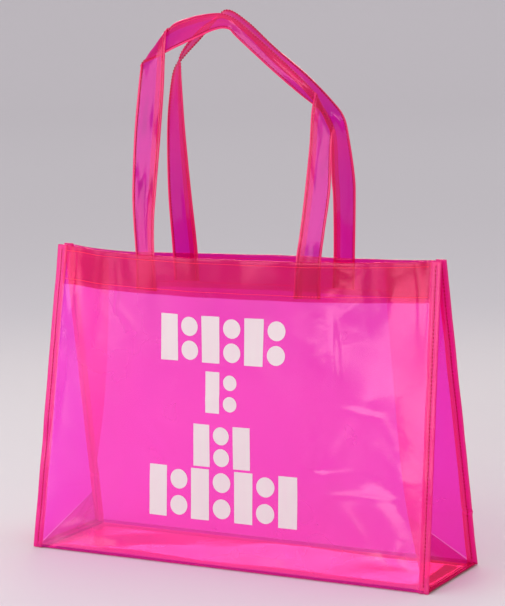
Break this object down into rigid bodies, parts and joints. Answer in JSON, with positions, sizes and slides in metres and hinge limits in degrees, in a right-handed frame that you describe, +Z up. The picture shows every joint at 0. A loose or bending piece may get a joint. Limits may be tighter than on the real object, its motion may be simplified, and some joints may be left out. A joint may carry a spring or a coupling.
{
  "type": "transparent vinyl beach bag",
  "caption": "See-through vinyl tote with folded side gussets, pinched outside seams, a turned-in hem and strap handles.",
  "frame": {"origin": "on the floor in the middle of the base", "axes": "+X along the width to the right as seen from the front, +Y from the front wall to the back wall, +Z up"},
  "size_m": [0.4, 0.108, 0.4956],
  "materials": {
    "vinyl_film": "clear pink vinyl film, glossy, softly rippled",
    "gusset_film": "clear pink vinyl film, glossy, creased along the folds",
    "vinyl_seam": "four layers of pink vinyl pressed together, deeper and redder",
    "vinyl_strap": "three layers of clear pink vinyl, glossy",
    "thread": "twisted polyester sewing thread, crimson pink",
    "print_ink": "opaque off-white screen-print ink"
  },
  "bodies": {
    "base": {"base_panel": "vinyl_film", "left_base_seam": "vinyl_seam", "right_base_seam": "vinyl_seam", "left_base_thread": "thread", "right_base_thread": "thread", "left_gusset_front_leaf": "gusset_film", "left_gusset_front_hem": "gusset_film", "left_gusset_back_leaf": "gusset_film", "left_gusset_back_hem": "gusset_film", "left_gusset_foot_leaf": "gusset_film", "right_gusset_front_leaf": "gusset_film", "right_gusset_front_hem": "gusset_film", "right_gusset_back_leaf": "gusset_film", "right_gusset_back_hem": "gusset_film", "right_gusset_foot_leaf": "gusset_film"},
    "front_wall": {"front_panel": "vinyl_film", "front_hem": "vinyl_film", "front_hem_threads": "thread", "front_left_seam": "vinyl_seam", "front_left_seam_thread": "thread", "front_right_seam": "vinyl_seam", "front_right_seam_thread": "thread", "front_handle_tabs": "vinyl_strap", "front_print": "print_ink"},
    "back_wall": {"back_panel": "vinyl_film", "back_hem": "vinyl_film", "back_hem_threads": "thread", "back_left_seam": "vinyl_seam", "back_left_seam_thread": "thread", "back_right_seam": "vinyl_seam", "back_right_seam_thread": "thread", "back_handle_tabs": "vinyl_strap"},
    "front_loop": {"front_handle": "vinyl_strap", "front_handle_threads": "thread"},
    "back_loop": {"back_handle": "vinyl_strap", "back_handle_threads": "thread"}
  },
  "joints": [
    {"name": "front_wall_open", "type": "hinge", "parent": "base", "child": "front_wall", "pos_m": [0, -0.0536, 0.0032], "axis": [1, 0, 0], "range_deg": [0, 10], "stiffness_Nm_per_rad": 0.06},
    {"name": "back_wall_open", "type": "hinge", "parent": "base", "child": "back_wall", "pos_m": [0, 0.0536, 0.0032], "axis": [-1, 0, 0], "range_deg": [0, 10], "stiffness_Nm_per_rad": 0.06},
    {"name": "front_handle_swing", "type": "hinge", "parent": "front_wall", "child": "front_loop", "pos_m": [0, -0.036, 0.277], "axis": [1, 0, 0], "range_deg": [0, 165], "stiffness_Nm_per_rad": 0.08},
    {"name": "back_handle_swing", "type": "hinge", "parent": "back_wall", "child": "back_loop", "pos_m": [0, 0.036, 0.277], "axis": [-1, 0, 0], "range_deg": [0, 165], "stiffness_Nm_per_rad": 0.08}
  ],
  "couplings": [
    {"joint": "back_wall_open", "follows": "front_wall_open", "ratio": 1}
  ]
}
